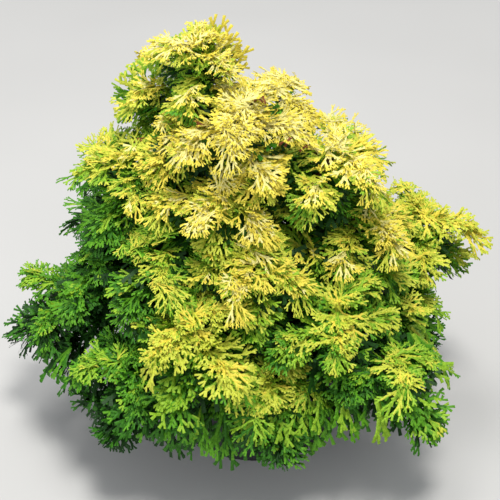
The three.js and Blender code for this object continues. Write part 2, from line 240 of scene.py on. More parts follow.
def make_material(name, roughness, specular, grain, relief, stops):
    """A material with noise in the object's own coordinates as its mottle and its relief."""
    material = bpy.data.materials.new(name)
    material.use_nodes = True
    nodes = material.node_tree.nodes
    shader = nodes["Principled BSDF"]
    kinds = ("TexCoord", "Mapping", "TexNoise", "ValToRGB", "Bump")
    place, mapping, texture, ramp, bump = [nodes.new("ShaderNode" + kind) for kind in kinds]
    for node, socket, value in [
            (shader, "Roughness", roughness), (shader, "Specular IOR Level", specular),
            (texture, "Scale", grain[0]), (texture, "Detail", grain[1]), (mapping, "Scale", grain[2]),
            (bump, "Strength", relief[0]), (bump, "Distance", relief[1])]:
        node.inputs[socket].default_value = value
    elements = ramp.color_ramp.elements
    while len(elements) < len(stops):
        elements.new(0.5)
    for element, (position, colour) in zip(elements, stops):
        element.position = position
        element.color = linear(*colour)
    for source, output, target, socket in [
            (place, "Object", mapping, "Vector"), (mapping, "Vector", texture, "Vector"),
            (texture, "Fac", ramp, "Fac"), (ramp, "Color", shader, "Base Color"),
            (texture, "Fac", bump, "Height"), (bump, "Normal", shader, "Normal")]:
        material.node_tree.links.new(source.outputs[output], target.inputs[socket])
    return material


def named_material(name):
    return make_material(name, *MATERIALS[name])


# Meshes

def make_object(name, vertices, faces, material, smooth=True):
    """A mesh object from places and from each face's vertex numbers."""
    mesh = bpy.data.meshes.new(name)
    mesh.from_pydata(vertices, [], faces, shade_flat=not smooth)
    mesh.materials.append(material)
    made = bpy.data.objects.new(name, mesh)
    bpy.context.scene.collection.objects.link(made)
    return made


class Heap:
    """Meshes gathered into one."""

    def __init__(self):
        self.vertices = []
        self.faces = []
        self.count = 0

    def add(self, vertices, faces):
        self.vertices.append(vertices)
        self.faces.append(faces + self.count)
        self.count += len(vertices)

    def make(self, name, material, smooth=True):
        return make_object(name, np.concatenate(self.vertices), np.concatenate(self.faces), material, smooth)


def grid_faces(rings, sides, closed=True):
    """Triangles between rings of a tube or lathe."""
    faces = []
    for r in range(rings - 1):
        for k in range(sides if closed else sides - 1):
            a = r * sides + k
            b = r * sides + (k + 1) % sides
            faces += [(a, b, b + sides), (a, b + sides, a + sides)]
    return np.array(faces)


def body_faces(rings, sides):
    """The same for a closed body, the middles of whose two ends are its last vertices."""
    last = (rings - 1) * sides
    ends = [(rings * sides, (k + 1) % sides, k) for k in range(sides)]
    ends += [(rings * sides + 1, last + k, last + (k + 1) % sides) for k in range(sides)]
    return np.concatenate([grid_faces(rings, sides), np.array(ends)])


# Bark's ridges: how fine they are round a stem and along it, and how much finer and lower a second set of them is.
RIDGES_ROUND = 3.1
RIDGES_ALONG = 45
FINER = 2.3
LOWER_RIDGES = 0.6


def tube(points, radii, sides, ridges=0.0, seed=0):
    """A tube along a line of points, closed at both ends, with fibrous ridges of that height."""
    ahead = np.gradient(points, axis=0)
    ahead /= np.linalg.norm(ahead, axis=1)[:, None]
    side = np.cross(ahead, ASKEW)
    side /= np.linalg.norm(side, axis=1)[:, None]
    other = np.cross(ahead, side)
    angle = np.arange(sides) * 2 * math.pi / sides
    travelled = np.concatenate([[0], np.cumsum(np.linalg.norm(np.diff(points, axis=0), axis=1))])
    rings = []
    for centre, radius, u, v, way in zip(points, radii, side, other, travelled):
        out = np.outer(np.cos(angle), u) + np.outer(np.sin(angle), v)
        relief = np.zeros(sides)
        for k in range(sides if ridges else 0):
            place = Vector((RIDGES_ROUND * math.cos(angle[k]), RIDGES_ROUND * math.sin(angle[k]),
                            way * RIDGES_ALONG + seed))
            relief[k] = ridges * (1 - 2 * abs(perlin.noise(place)))
            relief[k] += LOWER_RIDGES * ridges * perlin.noise(FINER * place)
        rings.append(centre + out * (radius + relief)[:, None])
    return np.concatenate(rings + [points[:1], points[-1:]]), body_faces(len(points), sides)


# Layout of the crown


def axis_x(height):
    """Where the crown's axis is at a height above the skirt's level."""
    return CROWN_LEAN * max(height, 0) / CROWN_HEIGHT


def lay_out_pads():
    """Every pad of foliage: its heart, the way outward, and the seat in its heart that its sprays grow from."""
    pads = []
    for tier, fork, level, start, slope, lift, spray, reaches in TIERS:
        for k, reach in enumerate(reaches):
            i = len(pads)
            name = f"{tier}_{k}"
            rise, flatter, turn = STRAYS.get(name, (0, 0, 0))
            vary = drawn(i, PAD_VARIETY)
            outward = level_way(math.radians(start + 360 * k / len(reaches) + vary.turn + turn))
            height = level + vary.rise + rise
            tilt = math.radians(slope + vary.tilt - flatter)
            facing = UP * math.cos(tilt) + outward * math.sin(tilt)
            downhill = outward * math.cos(tilt) - UP * math.sin(tilt)
            heart = np.array([axis_x(height), 0.0, SKIRT_LEVEL + height])
            heart = heart + outward * max(reach - HEART_INSIDE * spray, LEAST_REACH)
            pads.append(SimpleNamespace(
                name=name, i=i, tier=tier, lift=lift, spray=spray, rim=reach, heart=heart, outward=outward,
                fork=fork + FORK_STAGGER * ((2 * k) % 5 - 2), seat=Seat(heart, downhill, facing)))
    return pads


def trunk_share(z):
    return (z - TRUNK_FOOT) / (TRUNK_TOP - TRUNK_FOOT)


def trunk_point(z):
    """The trunk's line at a height: upright at the foot, then along the crown's axis."""
    share = trunk_share(z)
    ease = clamp(TRUNK_BEND * share)
    ease = ease * ease * (3 - 2 * ease)
    return np.array([axis_x(z - SKIRT_LEVEL) * ease, TRUNK_WAVE * math.sin(TRUNK_TURN * share) * share, z])


def trunk_radius(z):
    share = trunk_share(z)
    flare = (FLARE_RADIUS - TRUNK_RADIUS) * math.exp(-share * FLARE_FADE)
    return flare + TRUNK_RADIUS + (TRUNK_TIP_RADIUS - TRUNK_RADIUS) * share


def stalk_foot(pad):
    return pad.heart + pad.seat.upright * (LOWEST_SPRAY - STALK_DROP)


def bough_line(pad):
    """A bough's line: out of the trunk, over a low arch and on towards the foot of the pad's stalk."""
    end = stalk_foot(pad) - pad.outward * BOUGH_STOP
    root = trunk_point(pad.fork)
    middle = root + (end - root) * BOUGH_MIDDLE
    middle[2] = max(root[2] + BOUGH_ARCH, end[2] + BOUGH_ARCH, RIM_ARCH if pad.tier == "skirt" else 0)
    return arch(root, middle, end, 14)


# Fans of foliage

FAN_LENGTH = 0.023  # of a template, before it is scaled to its place
FLATNESS = 0.75
SUNKEN = 0.35  # the share of a branchlet's thickness that lies below its line
# How a template is grown: the widths of its strands and lobes, the gap between branchlets, the step between a
# branchlet's lobes, which take turns on its two sides, and a lobe's length and turn.
STYLES = {
    "fine": SimpleNamespace(strand=0.0015, lobe=0.0014, gap=0.0034, step=0.0034, length=0.0056, turn=0.48),
    "broad": SimpleNamespace(strand=0.0018, lobe=0.0018, gap=0.0039, step=0.0031, length=0.0051, turn=0.62),
}
# A branch's stem, the runs of its branchlets between two forks, and how uneven they and their lobes are.
STEM_ROOT = -0.0015
STEM_LENGTH = 0.0016
STEM_EXTRA = 0.002
LEAST_RUN = 0.003
LAST_RUN = 0.005
TIP_ROOM = 0.0032
LEAST_END = 0.002
LONG_RUN = 0.007
UNEVENNESS = 0.0009
WAVE = 0.0006
WAVE_ROOM = 0.004
WAVE_TURN = 5
EARLY_TURN = 1.3  # how much sooner than its end a branchlet reaches its sector's middle
# A sector's reach as a share of its fan's, the width in gaps at which it forks, and how far from its middle.
REACH, REACH_VARIETY = 0.98, 0.06
FORK_WIDTH, FORK_VARIETY = 1.7, 0.25
CUT_VARIETY = 0.12
# The first lobe's place and the later ones' steps in steps, how much lobes vary, and the share of the length that
# bears none.
FIRST_STEP, FIRST_VARIETY = 0.7, 0.3
STEP_VARIETY = 0.2
LOBE_SIZE, SIZE_VARIETY = 0.92, 0.2
WIDTH_VARIETY = 0.14
TURN_VARIETY = 0.1
BARE_SHARE = 0.2
LOBE_TURN = 0.8
LOBE_FOOT = 0.55
LOBE_END = 0.85
LOBE_ROOM = 0.0006
LOBE_RISE = 0.001
LAST_LOBES = [(0.25, 0.86, 0.0005), (-1.3, 0.72, 0)]  # turn, size and rise of the two at a branchlet's end
# Lobes that dip under their branchlet and get the darker colour of painted shade: the rise below which a lobe does,
# and how much further down it is set.
UNDER_RISE = -0.0003
UNDER_DROP = 0.0006
# How far a branch bends out of its fan's plane.
CURL = 0.32
ROLL = 0.6
ROLL_LIMIT = 0.6
INNER_ZONE = 0.32  # share of the length with stalks of their own colour
TIP_ZONE = 0.58  # share of the length beyond which lobes are tips
STALK, BRANCHLET, TIP, UNDER = range(4)
# Half-angle in degrees, how many branches side by side, and reach.
KINDS = [(48, 4, 1.0), (58, 4, 0.92), (32, 3, 1.22)]
COPIES = 4
COARSE_KIND = (58, 3, 1.0)
FINE_TIERS = ("middle", "high", "upper", "crest")
COARSE_FANS = 3


class Branch:
    """One sector of a fan, grown flat: a mesh for each of its stalks, branchlets, tips and lower lobes."""

    def __init__(self, random, style, low, high, rim, lobed, ridged):
        self.random = random
        self.style = style
        self.rim = rim
        self.lobed = lobed
        self.ridged = ridged
        self.middle = (low + high) / 2
        self.zones = [Heap(), Heap(), Heap(), Heap()]
        start = STEM_LENGTH + STEM_EXTRA * random.random()
        self.strand([(STEM_ROOT, 0, 0), (start, self.middle, 0)], STALK)
        self.grow(start, self.middle, 0.0, low, high)
        self.bend()

    def vary(self, size):
        """A number from -size to size."""
        return size * (2 * self.random.random() - 1)

    def bend(self):
        """Takes the sector out of the fan's plane, so that neighbouring ones part and overlap."""
        curl = self.vary(CURL)
        roll = self.vary(ROLL)
        for heap in self.zones:
            for vertices in heap.vertices:
                r = np.hypot(vertices[:, 0], vertices[:, 1])
                off = np.arctan2(vertices[:, 1], np.maximum(vertices[:, 0], 1e-4)) - self.middle
                share = np.clip(r / FAN_LENGTH, 0, 1)
                off = np.clip(off, -ROLL_LIMIT, ROLL_LIMIT)
                vertices[:, 2] += curl * share ** 2 * FAN_LENGTH + roll * off * r * share

    def strand(self, line, zone):
        """A flattened branchlet along (r, angle, z) points, with a ridge along its upper side."""
        r, angle, z = np.array(line).T
        points = np.stack([r * np.cos(angle), r * np.sin(angle), z], axis=1)
        ahead = np.gradient(points, axis=0)
        ahead /= np.linalg.norm(ahead, axis=1)[:, None]
        side = np.stack([-ahead[:, 1], ahead[:, 0], np.zeros(len(points))], axis=1)
        half = np.full(len(points), self.style.strand / 2)
        thick = np.outer(half * 2 * FLATNESS, UP)
        left = points + side * half[:, None] - SUNKEN * thick
        right = points - side * half[:, None] - SUNKEN * thick
        rows = [left, points + (1 - SUNKEN) * thick, right] if self.ridged else [left, right]
        vertices = np.stack(rows, axis=1).reshape(-1, 3)
        self.zones[zone].add(vertices, grid_faces(len(points), len(rows), closed=False))

    def lobe(self, r, angle, z, turn, length, rise):
        """A short blunt lobe that leaves a branchlet at an angle to it."""
        under = rise < UNDER_RISE
        zone = UNDER if under else TIP if r > TIP_ZONE * FAN_LENGTH * self.rim else BRANCHLET
        root = np.array([r * math.cos(angle), r * math.sin(angle), z])
        way = angle + LOBE_TURN * turn
        ahead = np.array([math.cos(way), math.sin(way), (rise - UNDER_DROP * under) / length])
        side = np.array([-ahead[1], ahead[0], 0])
        half = self.style.lobe * (1 + self.vary(WIDTH_VARIETY)) / 2
        thick = np.array([0, 0, half * 2 * FLATNESS])
        end = root + ahead * length
        foot, tip = LOBE_FOOT * half * side, LOBE_END * half * side
        corners = [root + foot, root - foot, end - tip - SUNKEN * thick, end + tip - SUNKEN * thick]
        if self.ridged:
            faces = [(0, 1, 4), (1, 2, 4), (2, 3, 4), (3, 0, 4)]
            corners.append(root + ahead * (length - half) + (1 - SUNKEN) * thick)
        else:
            faces = [(0, 1, 2), (0, 2, 3)]
        self.zones[zone].add(np.array(corners), np.array(faces))

    def grow(self, r, angle, z, low, high):
        """A branchlet that runs outward until its sector is wide enough to fork, or to the rim."""
        middle = (low + high) / 2
        reach = FAN_LENGTH * self.rim * (REACH + self.vary(REACH_VARIETY))
        fork = max(self.style.gap * (FORK_WIDTH + self.vary(FORK_VARIETY)) / (high - low), r + LEAST_RUN)
        last = fork > reach - LAST_RUN
        end_r = max(reach - TIP_ROOM if last else fork, r + LEAST_END)
        end_z = z + self.vary(UNEVENNESS)
        steps = 3 if end_r - r > LONG_RUN else 2
        wave = self.vary(WAVE)

        def place(share):
            radius = r + (end_r - r) * share
            turned = angle + (middle - angle) * min(EARLY_TURN * share, 1)
            turned = turned + wave * math.sin(WAVE_TURN * share) / max(radius, WAVE_ROOM)
            return radius, turned, z + (end_z - z) * share

        self.strand([place(share) for share in np.linspace(0, 1, steps)],
                    STALK if (r + end_r) / 2 < INNER_ZONE * FAN_LENGTH else BRANCHLET)
        side = 1 if self.random.random() < 0.5 else -1
        step, length, turn = self.style.step, self.style.length, self.style.turn
        at = r + step * (FIRST_STEP + self.vary(FIRST_VARIETY))
        while self.lobed and at < end_r - LOBE_ROOM:
            if at > BARE_SHARE * FAN_LENGTH:
                self.lobe(*place((at - r) / (end_r - r)), side * (turn + self.vary(TURN_VARIETY)),
                          length * (LOBE_SIZE + self.vary(SIZE_VARIETY)), self.vary(LOBE_RISE))
            side = -side
            at += step * (1 + self.vary(STEP_VARIETY))
        if last:
            for share, size, rise in LAST_LOBES:
                self.lobe(end_r, middle, end_z, share * turn * side, length * size, rise)
            return
        cut = middle + (high - low) * self.vary(CUT_VARIETY)
        self.grow(end_r, middle, end_z, low, cut)
        self.grow(end_r, middle, end_z, cut, high)


# How wide and how long a fan's branches are against each other, and how much shorter those at its sides are.
SECTOR_WIDTHS = (0.75, 1.25)
SECTOR_REACHES = (0.84, 1.0)
SIDE_SHRINK = 0.2
SECTOR_OVERLAP = 0.03  # in radians
VEIL_RINGS = (0.1, 0.5, 0.92)  # shares of a fan's reach
LIGHT_RINGS = (0.4, 0.82)


class Fan:
    """Branches side by side: all their vertices, and each branch's and zone's share of them and faces."""

    def __init__(self, seed, style, half_angle, count, stretch, lobed=True, ridged=True):
        random = np.random.default_rng(seed)
        half = math.radians(half_angle)
        cuts = np.cumsum(random.uniform(*SECTOR_WIDTHS, count))
        cuts = np.concatenate([[0], cuts]) / cuts[-1] * 2 * half - half
        vertices = []
        self.parts = []
        start = 0
        for b, (low, high) in enumerate(zip(cuts[:-1], cuts[1:])):
            off = (low + high) / 2 / half
            rim = stretch * (1 - SIDE_SHRINK * off ** 2) * random.uniform(*SECTOR_REACHES)
            branch = Branch(random, style, low - SECTOR_OVERLAP, high + SECTOR_OVERLAP, rim, lobed, ridged)
            for zone, heap in enumerate(branch.zones):
                if heap.count:
                    vertices += heap.vertices
                    self.parts.append((b, zone, start, start + heap.count, np.concatenate(heap.faces)))
                    start += heap.count
        self.vertices = np.concatenate(vertices)
        # An outline of the fan that stops light, and for each branch an inner and an outer point that get it.
        reach = FAN_LENGTH * stretch
        angles = np.concatenate([[-half], (cuts[:-1] + cuts[1:]) / 2, [half]])
        self.veil = np.array([ring * reach * level_way(a) for ring in VEIL_RINGS for a in angles])
        self.veil_faces = grid_faces(len(VEIL_RINGS), len(angles), closed=False)
        self.points = np.array([ring * reach * level_way(a) for a in angles[1:-1] for ring in LIGHT_RINGS])
        # The same fan without ridges, for where little light shows them.
        self.plain = Fan(seed, style, half_angle, count, stretch, lobed, False) if ridged else self


class Seat:
    """Where something grows from: its root, the way that it heads and the side that it turns up."""

    def __init__(self, root, along, upright):
        self.root = root
        self.along = along
        self.upright = upright
        self.across = np.cross(upright, along)

    def turned(self, heading, lift, above=0.0, roll=0.0, behind=0.0):
        """A seat above it or behind it, turned about the upright side, then raised, then rolled, all in degrees."""
        heading, lift, roll = math.radians(heading), math.radians(lift), math.radians(roll)
        along = (self.along * math.cos(heading) + self.across * math.sin(heading)) * math.cos(lift)
        along = along + self.upright * math.sin(lift)
        across = np.cross(self.upright, along)
        across /= np.linalg.norm(across)
        upright = np.cross(along, across)
        upright = upright * math.cos(roll) + across * math.sin(roll)
        return Seat(self.root + self.upright * above - self.along * behind, along, upright)

    def further(self, x, length, droop):
        """The seat at x along a spray of that length and droop that grows from here."""
        bend = droop * x / length
        forward = length * math.sin(bend) / droop
        sag = length * (1 - math.cos(bend)) / droop
        root = self.root + self.along * forward - self.upright * sag
        along = self.along * math.cos(bend) - self.upright * math.sin(bend)
        return Seat(root, along, np.cross(along, self.across))

    def levelled(self, share):
        """The same seat with its upright side brought towards the zenith."""
        upright = self.upright * (1 - share) + UP * share
        upright -= self.along * (upright @ self.along) * (1 - share)
        upright /= np.linalg.norm(upright)
        along = self.along - upright * (self.along @ upright)
        return Seat(self.root, along / np.linalg.norm(along), upright)

    def place(self, flat, length, mirror, droop):
        """A flat fan's vertices, scaled, bent and set here."""
        scale = length / FAN_LENGTH
        x = flat[:, 0] * scale
        y = flat[:, 1] * scale * mirror
        z = flat[:, 2] * scale
        bend = droop * np.maximum(x, 0) / length
        forward = length * np.sin(bend) / droop + np.minimum(x, 0) + z * np.sin(bend)
        sag = length * (1 - np.cos(bend)) / droop + FAN_CUP * y * y / length
        level = z * np.cos(bend) - sag
        return self.root + np.outer(forward, self.along) + np.outer(y, self.across) + np.outer(level, self.upright)


# Each colour of leaf: the darker one between its scales, a mottle that also paints shade in the hollows of the
# leaf's relief, and its own. The darker greens stand for shade inside the crown as well as for greener growth.
PALETTE = {
    "cream": ((238, 227, 130), (250, 243, 164)),
    "gold": ((230, 210, 68), (247, 232, 92)),
    "lemon": ((190, 200, 58), (217, 223, 80)),
    "lime": ((128, 175, 38), (164, 205, 56)),
    "leaf": ((78, 140, 26), (106, 172, 36)),
    "green": ((44, 100, 18), (66, 132, 26)),
    "deep": ((17, 52, 8), (30, 78, 14)),
}
# The colours of a branch's stalks, branchlets, tips and lower lobes, from the deepest shade to full sun; the lower
# lobes are a step darker, painted shade under the fan.
COLOURINGS = [row.split() for row in (
    "deep deep deep deep", "deep deep green deep", "green deep green deep", "green green green deep",
    "leaf green leaf green", "leaf leaf leaf green", "lime lime leaf green", "lime lime lime leaf",
    "lemon lemon lime leaf", "lemon lemon lemon lime", "lemon gold lemon lime", "cream cream gold lemon",
    "cream cream gold gold")]
# New growth turns gold where the sun reaches it, and the same colours also paint the light and shade that fall on
# the crown: the sun's way, and the middle that the crown faces away from.
SUN = np.array([0.20, -0.24, 0.95])
SUN_RAYS = 14
SUN_SPREAD = 62  # degrees round the sun from which light comes
VEIL = 0.42  # the share of light that a fan lets through
LEAST_LIGHT = 0.05  # below which a ray isn't followed on
OFF_FAN = 0.003  # where a ray starts, above or below its fan
PAST_HIT = 0.0015
CROWN_MIDDLE = np.array([-0.012, 0.0, 0.105])
# The tone of a fan, from 0 for the darkest to 1, which picks its colours, painted light and shade along with the
# gold of sunned growth: what it has without light, and what is added to it.
SHADED = 0.145
SUNLIT = 0.60  # in free light
TURNED = 0.26  # painted light on the side of the crown that faces the sun
HIGHER = 0.24  # painted light at the top of the crown, along with its gold
HIGH_BAND = (0.168, 0.078)  # the height where that begins, and over how much it grows
LEAST_HIGHER = -0.9  # of it, for the lowest foliage
LOW_PAINTED_SHADE = 0.34  # painted shade taken from the hanging ends
LOW_BAND = (0.101, -0.034)  # the same, downwards
# The highest tone below the first height and above the second.
GOLD_BAND = (0.160, 0.200)
GOLD_LIMIT = (0.80, 1.05)
# The pads that are brighter or darker than the sun makes them, by painted light and shade and by their own colour:
# all of a pad, its outer fans in addition, and the share of the painted shade at the hanging ends that it gets.
NO_TONE = (0, 0, 1)
PAINTED_PAD_TONES = dict(
    skirt_0=(0.18, -0.03, 1), skirt_1=(0.45, -0.36, 0.8), skirt_2=(0.03, 0.12, 0.1), skirt_3=(0.24, 0, 1),
    skirt_6=(0.07, 0, 1), skirt_7=(0.19, 0, 1), low_0=(0.25, 0, 1), low_2=(0.18, 0.26, 1), low_5=(-0.02, 0, 1),
    middle_0=(-0.05, 0, 1), middle_1=(0.07, 0, 1), middle_2=(0.08, 0, 1), middle_5=(-0.19, 0, 1),
    high_0=(0.05, 0, 1), high_1=(-0.18, 0, 1), high_2=(0.05, 0, 1), high_4=(-0.12, -0.24, 1),
    upper_0=(0.05, 0, 1), upper_1=(0.04, 0, 1), upper_2=(-0.12, 0, 1), crest_0=(-0.20, 0, 1),
)
OUTER_BAND = (0.78, 0.16)  # the share of a pad's reach where its outer fans begin, and over how much
# How much the tone varies from fan to fan, and from branch to branch.
FAN_VARIETY = 0.04
BRANCH_VARIETY = 0.08
PLAIN_BELOW = 0.17  # tone under which a fan has no ridges

TUFT_LENGTH = 0.37  # of a spray's length, which a tuft's longest fan has
LEVELLING = 0.80
# Where a spray's tufts grow, as shares of its length, and from which row of the layout on.
TUFT_PLACES = [(0.66, 0), (0.46, 3), (0.27, 3)]
PLACE_VARIETY = 0.05
# What each tuft further in has in addition, in degrees.
INNER_TURN = 25
INNER_LIFT = 5
# A tuft's fans: heading and lift in degrees, length as a share of the longest, tone, painted shade on the hanging
# fans and painted light on the raised ones, and how far back along the spray it is rooted, in lengths of the
# longest.
TUFT = [
    (-8, -30, 0.92, -0.10, 0), (44, -18, 0.94, -0.05, 0.12), (-48, -14, 0.94, -0.04, 0.26),
    (4, -4, 1.05, 0, 0), (66, 0, 0.84, 0, 0.42), (-70, 4, 0.80, 0, 0.58),
    (22, 9, 0.90, 0, 0.20), (-26, 15, 0.84, 0.02, 0.30), (10, 26, 0.66, 0.03, 0.45),
]
# How much its fans vary, and the step from each to the next.
TUFT_VARIETY = dict(turn=(6, 26), lift=(7, 12), roll=(9, 26), size=(8, 0.12), droop=(13, 0.3))
FAN_STEP = 0.0011
LEAST_DROOP_LIFT = 60  # a fan that hangs this many degrees has no droop of its own
LEAST_DROOP = 0.05
# A tuft at a pad's heart, laid out the same way, its raised fans lighter with painted light.
HEART_TUFT = [
    (0, 4, 0.95, 0, 0), (60, 8, 0.90, 0, -0.2), (122, 12, 0.90, 0, 0.2), (182, 14, 0.90, 0, 0),
    (-120, 18, 0.85, 0.02, 0.3), (-60, 24, 0.80, 0.03, -0.1), (30, 34, 0.75, 0.05, 0.1),
    (-150, 40, 0.70, 0.05, -0.2),
]
# Rows of fans that hang from the lowest tier over the pot: how far inside its reach and below its hearts they are
# rooted, their lift and their length.
FRINGE = [(0.040, 0.012, -46, 0.030), (0.044, 0.010, -54, 0.032), (0.050, 0.018, -62, 0.034)]
FRINGE_STEP = 8  # degrees
FRINGE_BLEND = 22  # degrees over which one pad's reach gives way to the next one's
FRINGE_SHADE = 0.26
FRINGE_VARIETY = dict(place=(6, 3), turn=(7, 20), lift=(8, 8), roll=(9, 14), size=(10, 0.15))
FRINGE_DROOP = 0.35
FRINGE_TONE = 0.4  # how much of its pad's own tone it takes back
FRINGE_RISE = {"skirt_2": 0.010, "skirt_3": 0.006}  # of the rows under some pads
# Rings of coarse fans deep inside a pad, dark with painted shade, which close the view through it: how many, lift,
# level and length.
INNER_RINGS = [(7, -16, -0.010, 0.80), (5, 4, -0.002, 0.62)]
# The tone of those rings: painted shade.
INNER_PAINTED_SHADE = -0.7
RING_TURN = 50
# The pads that end short of their solids: the ways in which they do, by how far.
TRIMMED = dict(
    crest_0=[(0.008, 0, 0.006)], upper_1=[(0.003, 0, 0.013)], upper_2=[(0, 0, 0.004), (0, 0, -0.012)],
    high_1=[(0, 0, 0.001)], high_2=[(0, 0, 0.008)], low_2=[(0.004, 0, -0.003)], skirt_2=[(0, 0, 0.007)],
)
CORE_TUFT = 0.55  # of the way from the trunk to a pad's heart, where a tuft in the shade grows
OVERHANG = 0.003  # that a fan may have beyond a CAD node's reach at the crown's outline
SIDEWAYS_OVERHANG = 0.003  # that it may have in addition, level with the solid
INNER_OVERHANG = 0.008  # the same inside the crown, over the gaps between the masses
SKIRT_OVERHANG = 0.004  # the same downwards in the lowest tier
# How often a fan beyond that reach is shortened and drawn back before it is left out, and by how much.
SHORTENINGS = 9
SHORTENING = 0.93
WITHDRAWAL = 0.0016
STEPS = (-1, 0, 1)
LEVEL = 0.5  # ways that rise less count as level
INWARD = 0.35  # ways that lead outward less count as inward
REACH_WAYS = np.array([(x, y, z) for x in STEPS for y in STEPS for z in STEPS if x or y or z], dtype=float)
REACH_WAYS /= np.linalg.norm(REACH_WAYS, axis=1)[:, None]
# Fans that stand upright, flat sides to the front: the pad, how far right of its heart and above it they are rooted,
# their heading in the upright plane, lift, length and tone.
UPRIGHT_FANS = [
    ("crest_0", 0, 0, 40, 6, 0.024, 0), ("crest_0", 0.002, 0.001, 6, -6, 0.027, 0.02),
    ("crest_0", 0.004, 0, -24, 4, 0.031, -0.10), ("crest_0", 0.006, -0.002, -52, 0, 0.028, 0),
    ("upper_2", -0.018, -0.002, 30, 6, 0.024, -0.26), ("upper_2", -0.022, -0.004, 74, 0, 0.026, -0.20),
    ("upper_2", -0.020, -0.006, 118, -4, 0.024, -0.28),
]
UPRIGHT_DROOP = 0.5
UPRIGHT_STAGGER = 0.002
# Extra tufts where pads leave a gap that the photo doesn't show: the pad and the place.
FILLERS = [
    ("middle_2", 0.030, -0.045, 0.168), ("middle_2", 0.024, -0.030, 0.186), ("high_1", 0.020, -0.030, 0.205),
    ("low_1", 0.040, -0.055, 0.130), ("high_4", -0.088, 0.004, 0.213), ("high_1", 0.047, 0.040, 0.209),
    ("skirt_7", -0.112, -0.020, 0.082), ("middle_5", -0.112, 0.030, 0.150), ("low_5", -0.108, 0.010, 0.120),
    ("high_4", -0.098, 0.012, 0.206), ("high_1", 0.061, 0.036, 0.205), ("skirt_0", -0.098, -0.072, 0.068),
    ("skirt_3", 0.098, -0.038, 0.116),
]
# Short bare twigs among the fans: where they show in a picture of that many pixels a side, and how many at each.
PICTURE = 500
RUSSET_SPOTS = [(198, 123), (262, 100), (285, 140), (305, 146), (139, 140)]
RUSSET_TWIGS = 3
RUSSET_PROUD = 0.0009  # of the fans
RUSSET_LENGTH = 0.008
RUSSET_SCATTER = 0.002
RUSSET_RISE, RISE_VARIETY = 0.35, 0.25
RUSSET_RINGS = 6
RUSSET_SAG = 0.003
RUSSET_RADII = (0.0006, 0.0003)
RUSSET_RIDGES = 0.0001


def spray_seats(pad):
    """The seat at the root of each of the solids' sprays, with its number and the spray's length."""
    for k in range(MAIN_SPRAYS):
        seed = 10 * pad.i + k
        vary = drawn(seed, SPRAY_VARIETY)
        heading = SPRAY_TURN * k + vary.turn
        share = (1 - SPRAY_SHRINK * k) * (1 + vary.size)
        share *= 1 + UPHILL_SHRINK * math.cos(math.radians(heading))
        lift = pad.lift + LIFT_STEP * k + vary.lift
        yield k, pad.seat.turned(heading, lift, LOWEST_SPRAY + SPRAY_STEP * k), pad.spray * share


def tufts_of(pad):
    """Every tuft of a pad: its number, seat, spray's length and layout."""
    for k, spray, length in spray_seats(pad):
        for t, (place, first) in enumerate(TUFT_PLACES):
            seed = 30 * pad.i + 3 * k + t
            seat = spray.further(length * (place + PLACE_VARIETY * spread(seed, 19)), length, SPRAY_DROOP)
            seat = seat.levelled(LEVELLING).turned(INNER_TURN * t * spread(seed, 20), INNER_LIFT * t)
            yield seed, seat, length, TUFT[first:]
    seed = 30 * pad.i + 3 * MAIN_SPRAYS
    seat = pad.seat.turned(360 * noise(seed, 6), 0, LOWEST_SPRAY + SPRAY_STEP * MAIN_SPRAYS)
    yield seed, seat, pad.spray, HEART_TUFT


def reach_of(pad):
    """How far the CAD node of a pad reaches each way, with what a fan may have beyond it."""
    node = bpy.data.objects["foliage_" + pad.name]
    corners = np.empty(3 * len(node.data.vertices))
    node.data.vertices.foreach_get("co", corners)
    matrix = np.array(node.matrix_world)
    corners = corners.reshape(-1, 3) @ matrix[:3, :3].T + matrix[:3, 3]
    inner = (REACH_WAYS @ pad.outward < INWARD) & (REACH_WAYS[:, 2] < LEVEL) & (pad.tier != "crest")
    below = (REACH_WAYS[:, 2] < 0) & (pad.tier == "skirt")
    overhang = np.where(below, SKIRT_OVERHANG, np.where(inner, INNER_OVERHANG, OVERHANG))
    overhang += np.where(np.abs(REACH_WAYS[:, 2]) < LEVEL, SIDEWAYS_OVERHANG, 0)
    for trim in TRIMMED.get(pad.name, []):
        overhang -= np.clip(REACH_WAYS @ trim, 0, None)
    return (corners @ REACH_WAYS.T).max(0) + overhang


def sun_rays():
    """Ways to the sky, spread evenly round the sun's."""
    axis = Vector(SUN).normalized()
    side = axis.orthogonal().normalized()
    other = axis.cross(side)
    rays = []
    for k in range(SUN_RAYS):
        off = math.radians(SUN_SPREAD) * math.sqrt((k + 0.5) / SUN_RAYS)
        turn = math.radians(SPRAY_TURN * k)
        rays.append(axis * math.cos(off) + (side * math.cos(turn) + other * math.sin(turn)) * math.sin(off))
    return rays


def light_at(tree, point, rays, upright):
    """The share of light that reaches a point, each fan in the way letting some of it through."""
    total = 0
    for ray in rays:
        side = 1 if ray.dot(upright) > 0 else -1
        start = point + upright * (OFF_FAN * side)
        share = 1.0
        while share > LEAST_LIGHT:
            hit = tree.ray_cast(start, ray)[0]
            if hit is None:
                break
            share *= VEIL
            start = hit + ray * PAST_HIT
        total += share
    return total / len(rays)


